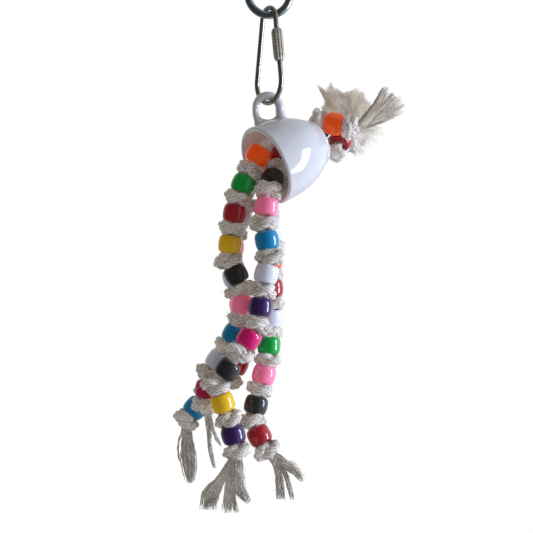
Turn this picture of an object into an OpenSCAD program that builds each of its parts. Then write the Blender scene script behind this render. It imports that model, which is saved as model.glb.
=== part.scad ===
// Hanging bird toy: a ring and a pear-shaped screw link carry a small plastic cup by its
// moulded eye. Four knotted cotton ropes, threaded with pony beads, hang out of the cup.
// The frame has +X to the right, +Y to the back and +Z up. The origin is where the ring hangs.

/* [Ring] */
// Outer diameter of the hanging ring
ring_outer_d = 19; // [17:0.5:24]
// Wire diameter of the hanging ring
ring_wire_d = 3; // [2.4:0.1:3.4]

/* [Screw link] */
// Wire diameter of the link
link_wire_d = 1.9; // [1.5:0.1:2.1]
// Overall height of the link, outside to outside
link_h = 38.2; // [36:0.2:44]
// How much slimmer the drawn legs are than the bends
leg_draw = 0.04; // [0.04:0.01:0.1]
// Radius of the narrow bend at the top, at the wire's middle
link_top_r = 4.3; // [4:0.1:5.5]
// Radius of the wide bend at the bottom, at the wire's middle
link_bottom_r = 8; // [7:0.1:9.5]
// Angle of the link's plane to the ring's plane, about the vertical
link_turn = 55; // [45:1:65]
// Clearance between two wires or eyes that hang in each other
hang_gap = 0.3; // [0.2:0.05:0.4]

/* [Sleeve] */
// Length of the threaded sleeve
sleeve_h = 12.4; // [10:0.2:13]
// Diameter of the sleeve over its ridges
sleeve_d = 4.4; // [4:0.1:5]
// Clearance round the wire inside the sleeve, on the radius
sleeve_clear = 0.12; // [0.08:0.01:0.2]
// Distance from the top bend's end to the closed sleeve, along the leg
sleeve_from_top = 4.6; // [4.2:0.1:5]
// Travel of the sleeve up the thread
sleeve_travel = 3.6; // [2:0.1:3.8]
// Length of the lower stub that the closed sleeve covers
stub_cover = 2.8; // [2:0.1:3.2]
// Width of the gap that the sleeve closes
link_gap = 4.5; // [3:0.1:5]
// Number of ridges along the sleeve
ridge_count = 10; // [8:1:14]
// Depth of the grooves between the ridges
groove_depth = 0.35; // [0.2:0.05:0.5]

/* [Cup] */
// Outer diameter of the cup's mouth
mouth_d = 31; // [29:0.5:33]
// Outer diameter of the cup's base
base_d = 16; // [15:0.5:18]
// Depth of the cup, outside
cup_h = 25; // [24:0.5:28]
// Wall of the cup
cup_wall = 1.1; // [0.9:0.1:1.4]
// How full the cup's side bulges, where 1 is a straight cone
cup_bulge = 2.8; // [2.2:0.1:3.4]
// Diameter of the hole in the cup's base
rope_hole_d = 9; // [8.6:0.1:11]
// Outer diameter of the cup's moulded eye
eye_outer_d = 12.6; // [12:0.1:13.4]
// Diameter of the eye's hole
eye_hole_d = 6; // [5.6:0.1:6.6]
// Depth to which the eye's rim sinks into the cup's side
eye_sink = 1; // [0.6:0.1:1.4]
// Thickness of the web between the eye and the cup's side
eye_web_t = 2.4; // [2:0.1:3]
// How far the web flares out past the eye
eye_web_flare = 1.2; // [0.6:0.1:1.6]
// How much further down the web reaches on the mouth's side
eye_web_drop = 3; // [2:0.5:4]
// How much lower the eye's hole ends than a round one would
eye_hole_drop = 1.4; // [1:0.1:1.8]

/* [Beads] */
// Outer diameter of a bead
bead_d = 9; // [8.6:0.1:9.3]
// Length of a bead
bead_h = 6.4; // [6:0.1:6.8]
// Diameter of the flat ends of a bead
bead_end_d = 5.6; // [5:0.1:6.4]
// Bore of a bead
bead_bore_d = 4.2; // [4:0.1:4.6]
// Squareness of a bead's outline, where 2 is an ellipse
bead_square = 3.4; // [2.6:0.1:4.5]

/* [Ropes] */
// Diameter of the rope where it runs straight
rope_d = 3.4; // [3:0.1:3.6]
// Width of a pulled knot
knot_w = 10; // [9.6:0.1:10.4]
// Height of a pulled knot along the rope
knot_h = 4.2; // [4:0.1:4.6]
// Share of the knot's height that one pass of the rope takes
knot_pass = 0.38; // [0.34:0.01:0.4]
// Diameter of a bunch behind the cup at its tip
top_tip_d = 5; // [3:0.5:7]
// Diameter of a bunch below the last knots at its tip
end_tip_d = 3.6; // [2:0.2:5]

/* [Hidden] */
$fn = 48;

ring_r = (ring_outer_d - ring_wire_d) / 2;
ring_bottom_z = -ring_outer_d + 1.5 * ring_wire_d;

link_top_z = ring_bottom_z + (ring_wire_d + link_wire_d) / 2 + hang_gap;
link_span = link_h - link_wire_d;
link_bottom_z = link_top_z - link_span;
top_bend_z = link_top_z - link_top_r;
bottom_bend_z = link_bottom_z + link_bottom_r;
bend_gap = top_bend_z - bottom_bend_z;
leg_lean = asin((link_bottom_r - link_top_r) / bend_gap);
leg_length = bend_gap * cos(leg_lean);
stub_length = leg_length - sleeve_from_top - sleeve_h + stub_cover;
upper_length = leg_length - stub_length - link_gap;
leg_d = link_wire_d - leg_draw;
leg_bite = 0.2;
sleeve_bore_d = link_wire_d + 2 * sleeve_clear;

eye_wire_d = (eye_outer_d - eye_hole_d) / 2;
eye_r = (eye_outer_d + eye_hole_d) / 4;
eye_z = link_bottom_z + link_wire_d / 2 + hang_gap - eye_hole_d / 2;

knot_r = (knot_w - knot_h) / 2;
// How far each knot is turned from the one before
knot_turn = 97;
// How far a bunch starts from its knot, its thickness there as a share of its tip's, and the lean
// over which it leaves the knot's side instead of its end
fray_gap = 0.25;
root_share = 0.1;
steep_lean = 35;

// The cup's axis runs from its mouth to its base: to the right, back and up
cup_lean = 24;
cup_yaw = 29.6;
cup_axis = [cos(cup_lean) * cos(cup_yaw), cos(cup_lean) * sin(cup_yaw), sin(cup_lean)];
// The cup's side faces the eye squarely at this height over the mouth
eye_over_mouth = 10.5;
side_slope = [-sin(cup_lean), 0, cos(cup_lean) * cos(cup_yaw)];
side_up = side_slope / norm(side_slope);
cup_mouth = [0, 0, eye_z - eye_outer_d / 2 + eye_sink]
    - side_up * cup_radius(eye_over_mouth) - cup_axis * eye_over_mouth;

// Outer radius of the cup at a height over its mouth
function cup_radius(t) = base_d / 2 + (mouth_d - base_d) / 2 * (1 - pow(t / cup_h, cup_bulge));

// Each rope starts at its outer knot behind the cup, runs through the hole and ends at its last knot
left_lead = [[31.5, 3, -57], [19.2, 7.2, -54], [19.8, 5.8, -59.6], [14.2, 2.7, -62.4], [7, -1, -61]];
front_lead = [[20.8, 27, -53.8], [19.6, 16, -57.6], [18.3, 9, -60.4], [12.7, 5.9, -63.2], [9, 8, -62]];
back_lead = [[32, 26.5, -60.2], [23.4, 18, -63.4], [20, 9, -63.6], [14.4, 5.9, -66.4], [7.5, 11, -71.5],
    [-3.5, 5.8, -74.5]];
right_lead = [[30.4, 16.2, -55], [26, 7.6, -66.6], [21.4, 5.8, -62.8], [15.8, 2.7, -65.6], [11, 2, -74],
    [5, 2.4, -80], [-0.3, 0.5, -84]];

left_run = [[-1, -2, -62.5], [-7.5, -3, -74], [-12, -4, -84.6], [-14, -3.5, -96], [-15.5, -3, -108],
    [-9.5, -2.5, -119], [-10.5, -3, -131], [-16, -2.5, -141.5], [-22.8, -1.6, -151.2], [-24.6, -1.6, -163.2]];
front_run = [[7, 8, -62.5], [2.5, 1, -73.5], [0, -7, -82], [-2, -9.5, -94.5], [0.5, -10, -107],
    [-2.5, -10.5, -119.5], [-4, -12, -132], [-11, -12, -142.6], [-19.8, -11, -155.2], [-15, -10, -167.5],
    [-11.8, -10, -179.4]];
back_run = [[-9, 6, -86.3], [-13.5, 6.7, -97.3], [-15, 7.3, -109], [-12, 7.5, -120.3], [-9.5, 7.5, -131.5],
    [-10, 7.5, -143], [-15, 7, -154], [-24.8, 8.5, -161], [-32.2, 8, -169.8]];
right_run = [[-0.6, 2, -91.4], [0.8, 2.6, -102.4], [0.8, 2.8, -113.4], [1.3, 2.8, -124.3], [0.5, 4.7, -135.4],
    [-0.5, 3, -146.5], [-3.4, 2, -157.5], [-6.6, 1, -169.6], [-0.8, -1, -180.6]];

// The points above are drawn for a cup with its mouth and base here, and move with both
drawn_mouth = [-1.58, -4.74, -72.58];
drawn_base = [18.28, 6.54, -62.41];
mouth_shift = cup_mouth - drawn_mouth;
base_shift = cup_mouth + cup_axis * cup_h - drawn_base;
// Each lead is inside the cup from this point on
inner_from = 3;

// Where the frayed bunches end, behind the cup and below the last knots
TOP_TIPS = [
    [[45.5, 1, -42.5], [52, 3, -49], [43, 6, -60]],
    [[27, 33, -46.5], [30, 36, -54], [22.5, 38, -50]],
    [[41, 31, -58], [38.5, 32.5, -66], [36, 37, -61]],
    [[22, 20, -41], [27, 21, -39.5], [33, 21, -41], [39, 20, -45]]];
END_TIPS = [
    [[-20.7, -3, -188.5], [-17.6, -5, -180]],
    [[-26, -8, -197], [-21, -11, -202.5], [-12.5, -9, -203.5], [-7, -12, -199]],
    [[-35, 9, -189], [-30.5, 7, -195]],
    [[4.5, -2, -200], [9, -1, -200.5], [13, -3, -192]]];

// The strands in order, with the colours of their beads from the outer bead down
STRANDS = ["left", "front", "back", "right"];
LEADS = [for (lead = [left_lead, front_lead, back_lead, right_lead])
    [for (i = [0 : len(lead) - 1]) lead[i] + (i < inner_from ? base_shift : mouth_shift)]];
KNOTS = [for (run = [left_run, front_run, back_run, right_run]) [for (p = run) p + mouth_shift]];
// Whether a strand has a knot at its first run point, and one between the cup and its outer bead
FIRST_KNOT = [false, false, true, true];
STOP_KNOT = [true, false, false, true];
ORANGE = "#f2600f";
GREEN = "#0b8a3a";
RED = "#b3122c";
YELLOW = "#eab321";
BLACK = "#232323";
PINK = "#ee6ea6";
BLUE = "#0b84bd";
WHITE = "#dcdcee";
PURPLE = "#4a1d80";
MAGENTA = "#c81a7a";
CRIMSON = "#b5174c";
ROPE_COLOR = "#cfc8bb";
BEAD_COLORS = [
    [ORANGE, ORANGE, GREEN, RED, YELLOW, BLACK, PINK, BLUE, WHITE, CRIMSON],
    [BLACK, RED, BLACK, PINK, BLUE, WHITE, PURPLE, MAGENTA, BLACK, YELLOW, PURPLE],
    [GREEN, GREEN, PINK, YELLOW, ORANGE, PURPLE, RED, YELLOW, BLUE],
    [RED, BLUE, ORANGE, RED, WHITE, GREEN, PINK, BLACK, RED]];

function bead_name(s, i) = str("bead_", STRANDS[s], "_", i);

// Turns +Z onto a direction
module along(direction) {
    d = direction / norm(direction);
    rotate([0, acos(d.z), atan2(d.y, d.x)]) children();
}

module hanging_ring() {
    color("#aeb7bf")
    translate([0, 0, ring_wire_d - ring_outer_d / 2])
    rotate([90, 0, 0])
    rotate_extrude() translate([ring_r, 0]) circle(d = ring_wire_d);
}

// Places children in the link's own plane, with +X out along the sleeve's side
module link_plane() {
    rotate([0, 0, -link_turn]) children();
}

// One bend of the link's wire, spread evenly about straight up or down
module bend(radius, spread, z, up) {
    translate([0, 0, z]) rotate([90, 0, 0]) rotate([0, 0, up ? 90 - spread / 2 : 270 - spread / 2])
    rotate_extrude(angle = spread) translate([radius, 0]) circle(d = link_wire_d);
}

// Places children at the top end of a leg, with +Z down along it
module on_leg(side) {
    translate([side * link_top_r * cos(leg_lean), 0, top_bend_z + link_top_r * sin(leg_lean)])
    rotate([0, 180 - side * leg_lean, 0]) children();
}

// A stretch of a leg, whose end reaches just inside the bend that it runs into
module leg(side, from, to) {
    low = from > 0 ? from : -leg_bite;
    high = to < leg_length ? to : leg_length + leg_bite;
    on_leg(side) translate([0, 0, low]) cylinder(d = leg_d, h = high - low);
}

module link_body() {
    color("#6f6d69")
    link_plane() {
        bend(link_top_r, 180 - 2 * leg_lean, top_bend_z, true);
        bend(link_bottom_r, 180 + 2 * leg_lean, bottom_bend_z, false);
        leg(-1, 0, leg_length);
        leg(1, 0, upper_length);
        leg(1, leg_length - stub_length, leg_length);
    }
}

module link_sleeve() {
    chamfer = sleeve_d / 8;
    groove_d = PI * sleeve_d / ridge_count / 2;
    color("#85807a")
    link_plane() on_leg(1) translate([0, 0, sleeve_from_top])
    difference() {
        rotate_extrude() polygon([[sleeve_bore_d / 2, 0], [sleeve_d / 2 - chamfer, 0],
            [sleeve_d / 2, chamfer], [sleeve_d / 2, sleeve_h - chamfer],
            [sleeve_d / 2 - chamfer, sleeve_h], [sleeve_bore_d / 2, sleeve_h]]);
        for (i = [0 : ridge_count - 1])
            rotate([0, 0, i * 360 / ridge_count])
            translate([sleeve_d / 2 + groove_d / 2 - groove_depth, 0, -chamfer])
                cylinder(d = groove_d, h = sleeve_h + 2 * chamfer);
    }
}

// A filled outline of the cup's side, drawn in by an inset, from a floor height to the mouth
module cup_outline(inset, floor_h) {
    steps = 14;
    side = [for (i = [0 : steps]) let (t = cup_h - floor_h - (cup_h - floor_h) * i / steps)
        [cup_radius(t) - inset, cup_h - t]];
    polygon(concat([[0, floor_h]], side, [[0, cup_h]]));
}

// A round arch on two legs, which a flared web joins to the cup's side
module eye() {
    foot = eye_outer_d / 2;
    intersection() {
        rotate([90, 0, 0]) rotate_extrude() translate([eye_r, 0]) circle(d = eye_wire_d);
        translate([-foot, -foot, 0]) cube(2 * foot);
    }
    translate([eye_r, 0, -foot]) cylinder(d = eye_wire_d, h = foot);
    translate([-eye_r, 0, -foot - eye_web_drop]) cylinder(d = eye_wire_d, h = foot + eye_web_drop);
    rotate([90, 0, 0]) translate([0, 0, -eye_web_t / 2]) linear_extrude(eye_web_t) difference() {
        polygon([[-eye_r, 0], [eye_r, 0], [foot + eye_web_flare, -foot], [-foot, -foot - eye_web_drop]]);
        translate([0, -eye_hole_drop]) circle(d = eye_hole_d);
        translate([-eye_hole_d / 2, -eye_hole_drop]) square([eye_hole_d, eye_hole_drop + eye_web_t]);
    }
}

module cup() {
    color("#eceaf6")
    difference() {
        union() {
            translate(cup_mouth + cup_axis * cup_h) along(-cup_axis) rotate_extrude() cup_outline(0, 0);
            translate([0, 0, eye_z]) eye();
        }
        translate(cup_mouth + cup_axis * cup_h) along(-cup_axis) {
            rotate_extrude() cup_outline(cup_wall, cup_wall);
            translate([0, 0, cup_h - cup_wall]) cylinder(d = mouth_d - 2 * cup_wall, h = 2 * cup_wall);
            translate([0, 0, -cup_wall]) cylinder(d = rope_hole_d, h = 3 * cup_wall);
        }
    }
}

// A bead on its rope, midway between two knots
module bead(shade, low, high) {
    power = 2 / bead_square;
    reach = acos(pow(bead_end_d / bead_d, 1 / power));
    steps = 14;
    side = [for (i = [0 : steps]) let (a = -reach + 2 * reach * i / steps)
        [bead_d * pow(cos(a), power), bead_h * sign(a) * pow(abs(sin(a) / sin(reach)), power)] / 2];
    color(shade)
    translate((low + high) / 2) along(high - low) rotate_extrude()
        polygon(concat([[bead_bore_d, -bead_h] / 2], side, [[bead_bore_d, bead_h] / 2]));
}

// Direction of a path at a point, from the point before to the point after
function heading(path, i) =
    let (d = path[min(i + 1, len(path) - 1)] - path[max(i - 1, 0)]) d / norm(d);

// Rings of a tube round a path, kept from twisting by one fixed side direction
function tube_rings(path, radius, sides, across) = [for (i = [0 : len(path) - 1])
    let (d = heading(path, i), u0 = cross(across, d), u = u0 / norm(u0), v = cross(d, u))
    for (k = [0 : sides - 1]) path[i] + radius * (cos(k * 360 / sides) * u + sin(k * 360 / sides) * v)];

// The skin between neighbouring rings of a tube
function tube_skin(count, sides) = [for (i = [0 : count - 2], k = [0 : sides - 1])
    let (a = i * sides + k, b = i * sides + (k + 1) % sides)
    each [[a, b, b + sides], [a, b + sides, a + sides]]];

module tube(path, radius, sides, across) {
    last = (len(path) - 1) * sides;
    polyhedron(points = tube_rings(path, radius, sides, across),
        faces = concat([[for (k = [sides - 1 : -1 : 0]) k]], tube_skin(len(path), sides),
            [[for (k = [0 : sides - 1]) last + k]]));
}

module rope(s) {
    color(ROPE_COLOR) tube(concat(LEADS[s], KNOTS[s]), rope_d / 2, 8, [0, 1, 0.05]);
}

// The run of the rope in a pulled overhand knot: twice round while it winds three times
function knot_point(a, knot_r, wind_r) =
    let (out = knot_r + wind_r * cos(1.5 * a)) [out * cos(a), out * sin(a), wind_r * sin(1.5 * a)];

module knot(at, from, to, turn) {
    pass_r = knot_h * knot_pass / 2;
    wind_r = knot_h / 2 - pass_r;
    steps = 24;
    sides = 6;
    run = [for (i = [0 : steps - 1]) knot_point(720 * i / steps, knot_r, wind_r)];
    rings = [for (i = [0 : steps - 1])
        let (d0 = run[(i + 1) % steps] - run[(i + steps - 1) % steps], d = d0 / norm(d0),
            m = [cos(720 * i / steps), sin(720 * i / steps), 0] * knot_r,
            u0 = run[i] - m, u1 = u0 - (u0 * d) * d, u = u1 / norm(u1), v = cross(d, u))
        for (k = [0 : sides - 1]) run[i] + pass_r * (cos(k * 360 / sides) * u + sin(k * 360 / sides) * v)];
    skin = [for (i = [0 : steps - 1], k = [0 : sides - 1])
        let (j = (i + 1) % steps, n = (k + 1) % sides)
        each [[i * sides + k, i * sides + n, j * sides + n], [i * sides + k, j * sides + n, j * sides + k]]];
    translate(at) along(to - from) rotate([0, 0, turn]) polyhedron(points = rings, faces = skin);
}

module knots(s) {
    run = KNOTS[s];
    lead = LEADS[s];
    last = len(run) - 1;
    color(ROPE_COLOR) {
        knot(lead[0], lead[0], lead[1], 0);
        if (STOP_KNOT[s]) knot(lead[1], lead[0], lead[1], knot_turn);
        for (i = [FIRST_KNOT[s] ? 0 : 1 : last])
            knot(run[i], run[max(i - 1, 0)], run[min(i + 1, last)], i * knot_turn);
    }
}

// Frayed bunches of yarn that widen from a knot to their tips, clear of the knot and of each other
module fray(root, out, tips, tip_d) {
    color(ROPE_COLOR) for (tip = tips) {
        d = tip - root;
        lean = acos(d * out / norm(d) / norm(out));
        beside = sqrt(pow(knot_h / 2 + fray_gap + tip_d * root_share, 2) - pow(knot_r * cos(lean), 2));
        start = lean > steep_lean ? knot_r * sin(lean) + beside
            : (knot_h / 2 + fray_gap) / (cos(lean) - sin(lean) * tip_d / norm(d) / 2);
        translate(root) along(d) translate([0, 0, start])
            cylinder(d1 = tip_d * start / norm(d), d2 = tip_d, h = norm(d) - start);
    }
}

module fray_top(s) {
    tips = [for (tip = TOP_TIPS[s]) tip + base_shift];
    fray(LEADS[s][0], LEADS[s][0] - LEADS[s][1], tips, top_tip_d);
}

module fray_end(s) {
    last = len(KNOTS[s]) - 1;
    tips = [for (tip = END_TIPS[s]) tip + mouth_shift];
    fray(KNOTS[s][last], KNOTS[s][last] - KNOTS[s][last - 1], tips, end_tip_d);
}

module strand_bead(s, i) {
    if (i == 0) bead(BEAD_COLORS[s][0], LEADS[s][0], LEADS[s][1]);
    else bead(BEAD_COLORS[s][i], KNOTS[s][i], KNOTS[s][i - 1]);
}

hanging_ring();
link_body();
link_sleeve();
cup();
for (s = [0 : 3]) {
    rope(s);
    knots(s);
    fray_top(s);
    fray_end(s);
    for (i = [0 : len(KNOTS[s]) - 1])
        strand_bead(s, i);
}
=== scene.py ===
import math
import random

import bpy
import numpy as np
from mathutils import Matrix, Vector


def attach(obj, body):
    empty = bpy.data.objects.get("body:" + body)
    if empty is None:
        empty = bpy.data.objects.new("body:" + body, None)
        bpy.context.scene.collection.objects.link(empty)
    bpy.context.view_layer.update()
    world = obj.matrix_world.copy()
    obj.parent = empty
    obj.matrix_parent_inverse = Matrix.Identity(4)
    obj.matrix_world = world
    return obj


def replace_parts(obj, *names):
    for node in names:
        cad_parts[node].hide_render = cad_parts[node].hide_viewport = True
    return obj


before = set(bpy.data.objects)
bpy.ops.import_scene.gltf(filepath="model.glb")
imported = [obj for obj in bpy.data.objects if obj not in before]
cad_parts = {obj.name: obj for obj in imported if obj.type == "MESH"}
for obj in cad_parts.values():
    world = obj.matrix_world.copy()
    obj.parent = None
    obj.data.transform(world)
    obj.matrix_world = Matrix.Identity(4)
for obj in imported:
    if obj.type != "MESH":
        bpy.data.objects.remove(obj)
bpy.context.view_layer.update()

# Lengths are in millimetres unless a name or a comment says metres. MM turns them into metres.
MM = 0.001
FULL_TURN = 2 * math.pi
scene = bpy.context.scene
scene.view_settings.view_transform = "Standard"

# camera, in metres: the place it looks at, how far off it stands and the width it takes in there
CENTRE = Vector((-0.95, 0, -110.5)) * MM
DISTANCE = 0.5
WIDTH = 203.6 * MM
SENSOR_MM = 36


def add_camera():
    data = bpy.data.cameras.new("camera")
    data.sensor_width = SENSOR_MM
    data.lens = SENSOR_MM * DISTANCE / WIDTH
    data.clip_start = 0.01
    camera = bpy.data.objects.new("camera", data)
    scene.collection.objects.link(camera)
    camera.location = CENTRE + Vector((0, -DISTANCE, 0))
    camera.rotation_euler = (math.radians(90), 0, 0)
    scene.camera = camera


add_camera()


# helpers
FIRST_SIDE = (0.3, 1, 0.2)


def arr(points):
    return np.array(points, float)


def unit(v):
    v = arr(v)
    return v / np.linalg.norm(v, axis=-1, keepdims=True)


def around(count):
    """Evenly spaced angles of one full turn."""
    return np.arange(count) * FULL_TURN / count


def circled(angles, a, b):
    """Directions at the given angles between two side directions."""
    return np.cos(angles)[:, None] * a + np.sin(angles)[:, None] * b


def quads(rows, columns, closed):
    """Faces of a grid whose rows are closed rings. If closed, its last row joins its first."""
    i = np.arange(rows if closed else rows - 1)[:, None]
    j = np.arange(columns)[None, :]
    after, beside = (i + 1) % rows, (j + 1) % columns
    corners = [i * columns + j, i * columns + beside, after * columns + beside, after * columns + j]
    return np.stack(corners, axis=-1).reshape(-1, 4)


def joined(parts):
    """One list of vertices and one of faces from several pairs of them."""
    verts, faces, count = [], [], 0
    for v, f in parts:
        verts.append(v)
        faces += [[q + count for q in face] for face in f]
        count += len(v)
    return np.vstack(verts), faces


def piece(name, verts, faces, materials, body, smooth=True, uvs=None, face_mats=None):
    """A mesh object in metres from vertices in millimetres."""
    mesh = bpy.data.meshes.new(name)
    mesh.from_pydata((arr(verts) * MM).tolist(), [], [list(map(int, f)) for f in faces])
    mesh.update()
    if smooth:
        mesh.polygons.foreach_set("use_smooth", [True] * len(mesh.polygons))
    if uvs is not None:
        layer = mesh.uv_layers.new(name="lay")
        loops = np.zeros(len(mesh.loops), np.int32)
        mesh.loops.foreach_get("vertex_index", loops)
        layer.data.foreach_set("uv", arr(uvs)[loops].astype(np.float32).ravel())
    for m in materials if isinstance(materials, list) else [materials]:
        mesh.materials.append(m)
    if face_mats is not None:
        mesh.polygons.foreach_set("material_index", face_mats)
    ob = bpy.data.objects.new(name, mesh)
    scene.collection.objects.link(ob)
    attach(ob, body)
    return ob


def frames(path):
    """Two side directions along a path, carried along without twist."""
    t = unit(np.gradient(path, axis=0))
    u = np.zeros_like(t)
    u[0] = unit(np.cross(FIRST_SIDE, t[0]))
    for i in range(1, len(path)):
        a = u[i - 1] - t[i] * np.dot(u[i - 1], t[i])
        u[i] = a / np.linalg.norm(a)
    return u, np.cross(t, u)


def length_along(path):
    """The distance from the start of a path to each of its points."""
    return np.concatenate([[0], np.cumsum(np.linalg.norm(np.diff(path, axis=0), axis=1))])


def resample(path, step):
    """The same path with even steps of about the given length."""
    s = length_along(path)
    n = max(2, int(round(s[-1] / step)) + 1)
    q = np.linspace(0, s[-1], n)
    return np.stack([np.interp(q, s, path[:, k]) for k in range(3)], axis=1)


def spline(points, per):
    """A smooth curve near its control points: a cubic B-spline that starts and ends on them."""
    p = np.vstack([points[0], points[0], points, points[-1], points[-1]])
    t = np.linspace(0, 1, per, endpoint=False)[:, None]
    out = []
    for i in range(len(p) - 3):
        a, b, c, d = p[i:i + 4]
        out.append(((1 - t) ** 3 * a + (3 * t ** 3 - 6 * t ** 2 + 4) * b
                    + (-3 * t ** 3 + 3 * t ** 2 + 3 * t + 1) * c + t ** 3 * d) / 6)
    return np.vstack(out + [points[-1][None]])


def through(points, per):
    """A smooth curve through its control points."""
    p = np.vstack([2 * points[0] - points[1], points, 2 * points[-1] - points[-2]])
    t = np.linspace(0, 1, per, endpoint=False)[:, None]
    out = []
    for i in range(len(p) - 3):
        a, b, c, d = p[i:i + 4]
        out.append(0.5 * (2 * b + (c - a) * t + (2 * a - 5 * b + 4 * c - d) * t ** 2
                          + (3 * b - a - 3 * c + d) * t ** 3))
    return np.vstack(out + [points[-1][None]])


class Build:
    """Gathers tubes into one mesh."""

    def __init__(self):
        self.v, self.f, self.uv, self.n = [], [], [], 0

    def tube(self, path, radius, sides, cap=True):
        n = len(path)
        radius = np.broadcast_to(radius, (n,))
        a, b = frames(path)
        k = around(sides)
        ring = np.cos(k)[None, :, None] * a[:, None, :] + np.sin(k)[None, :, None] * b[:, None, :]
        v = (path[:, None, :] + ring * radius[:, None, None]).reshape(-1, 3)
        across = np.abs(np.arange(sides) / sides * 2 - 1)
        self.v.append(v)
        self.uv.append(np.stack([np.tile(across, n), np.repeat(length_along(path), sides)], axis=1))
        self.f.extend((quads(n, sides, False) + self.n).tolist())
        if cap:
            last = self.n + (n - 1) * sides
            self.f.append([self.n + q for q in range(sides - 1, -1, -1)])
            self.f.append([last + q for q in range(sides)])
        self.n += len(v)

    def make(self, name, material, body):
        return piece(name, np.vstack(self.v), self.f, material, body, uvs=np.vstack(self.uv))


def lathe(profile, segments):
    """Vertices and faces of a closed outline turned about Z."""
    a = around(segments)
    p = arr(profile)
    v = np.stack([np.outer(np.cos(a), p[:, 0]), np.outer(np.sin(a), p[:, 0]),
                  np.tile(p[:, 1], (segments, 1))], axis=-1).reshape(-1, 3)
    return v, quads(segments, len(p), True)[:, [0, 3, 2, 1]]


def torus(path_r, wire, centre, n, m):
    """A closed ring of round wire that stands in the XZ plane."""
    a = around(n)[:, None]
    k = around(m)[None, :]
    r = path_r + wire * np.cos(k)
    thick = np.broadcast_to(wire * np.sin(k), (n, m))
    p = np.stack([r * np.cos(a), thick, r * np.sin(a)], axis=-1).reshape(-1, 3)
    return arr(centre) + p, quads(n, m, True)


def turn_to(direction):
    """Matrix whose columns are two side directions and the direction itself."""
    d = unit(direction)
    up = arr([0, 0, 1]) if abs(d[2]) < 0.95 else arr([0, 1, 0])
    x = unit(np.cross(up, d))
    return np.stack([x, np.cross(d, x), d], axis=1)


def cos_sin(degrees):
    """The cosine and sine of each of some degrees."""
    return [(math.cos(math.radians(x)), math.sin(math.radians(x))) for x in degrees]


# material helpers
def new_material(name):
    m = bpy.data.materials.new(name)
    m.use_nodes = True
    nt = m.node_tree
    nt.nodes.clear()
    out = nt.nodes.new("ShaderNodeOutputMaterial")
    b = nt.nodes.new("ShaderNodeBsdfPrincipled")
    nt.links.new(b.outputs["BSDF"], out.inputs["Surface"])
    return m, nt, b


def node(nt, kind, inputs=None, joins=None, **values):
    """A node with its properties, its input values and the sockets that are joined to its inputs."""
    n = nt.nodes.new(kind)
    for k, v in values.items():
        setattr(n, k, v)
    for k, v in (inputs or {}).items():
        n.inputs[k].default_value = v
    for k, v in (joins or {}).items():
        nt.links.new(v, n.inputs[k])
    return n


def ramp(nt, factor, stops):
    """The colour output of a ramp of two stops over a factor."""
    r = node(nt, "ShaderNodeValToRGB", joins={"Fac": factor})
    for element, (position, color) in zip(r.color_ramp.elements, stops):
        element.position = position
        element.color = (*color, 1)
    return r.outputs["Color"]


def coords(nt, scale=(1, 1, 1), out="Object"):
    t = nt.nodes.new("ShaderNodeTexCoord")
    m = node(nt, "ShaderNodeMapping", {"Scale": scale}, {"Vector": t.outputs[out]})
    return m.outputs["Vector"]


def noise(nt, vector, scale, detail, rough=0.5):
    values = {"Scale": scale, "Detail": detail, "Roughness": rough}
    return node(nt, "ShaderNodeTexNoise", values, {"Vector": vector}).outputs["Fac"]


def mapped(nt, value, low, high, start=0.0, stop=1.0, **values):
    """A value taken from start to stop onto low to high."""
    ends = {"From Min": start, "From Max": stop, "To Min": low, "To Max": high}
    return node(nt, "ShaderNodeMapRange", ends, {"Value": value}, **values).outputs["Result"]


def math_node(nt, operation, first, second):
    """Two sockets, or a socket and a number, taken together."""
    if isinstance(second, float):
        return node(nt, "ShaderNodeMath", {1: second}, {0: first}, operation=operation).outputs[0]
    return node(nt, "ShaderNodeMath", joins={0: first, 1: second}, operation=operation).outputs[0]


def bump(nt, height, strength, distance, below=None):
    """A bump normal from a height, on top of another normal if one is given."""
    joins = {"Height": height}
    if below is not None:
        joins["Normal"] = below
    values = {"Strength": strength, "Distance": distance}
    return node(nt, "ShaderNodeBump", values, joins).outputs["Normal"]


# materials
def plastic(name, base, rough, spread, coat, painted_glow=None):
    """Moulded plastic with a slightly uneven dye and gloss under a clear skin, and a painted glow if a colour
    for it is given.
    """
    m, nt, b = new_material(name)
    v = coords(nt)
    dark = tuple(c * (1 - spread) for c in base)
    light = tuple(min(1, c * (1 + spread) + 0.01 * spread) for c in base)
    dye = ramp(nt, noise(nt, v, 160, 3, 0.6), [(0.3, dark), (0.7, light)])
    nt.links.new(dye, b.inputs["Base Color"])
    gloss = mapped(nt, noise(nt, v, 900, 4, 0.65), rough * 0.8, rough * 1.5)
    nt.links.new(gloss, b.inputs["Roughness"])
    nt.links.new(bump(nt, noise(nt, v, 240, 2), 0.05, 0.0002), b.inputs["Normal"])
    b.inputs["Coat Weight"].default_value = coat
    b.inputs["Coat Roughness"].default_value = 0.06
    # painted glow: a given colour makes the plastic give off a little light of its own, though it is no lamp
    if painted_glow:
        b.inputs["Emission Color"].default_value = (*painted_glow, 1)
        b.inputs["Emission Strength"].default_value = 1.0
    return m


def metal(name, base, rough, scratch=1.0, stain=0.25, pure=1.0):
    """Handled metal: cloudy stains, and fine scratches that run along Z."""
    m, nt, b = new_material(name)
    stained = [(0.3, tuple(c * (1 - stain) for c in base)), (0.65, base)]
    nt.links.new(ramp(nt, noise(nt, coords(nt), 420, 5, 0.7), stained), b.inputs["Base Color"])
    b.inputs["Metallic"].default_value = pure
    scratches = noise(nt, coords(nt, (1, 1, 0.15)), 2600, 3)
    nt.links.new(mapped(nt, scratches, rough * 0.7, rough * 1.6), b.inputs["Roughness"])
    nt.links.new(bump(nt, scratches, 0.12 * scratch, 0.0001), b.inputs["Normal"])
    return m


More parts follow.
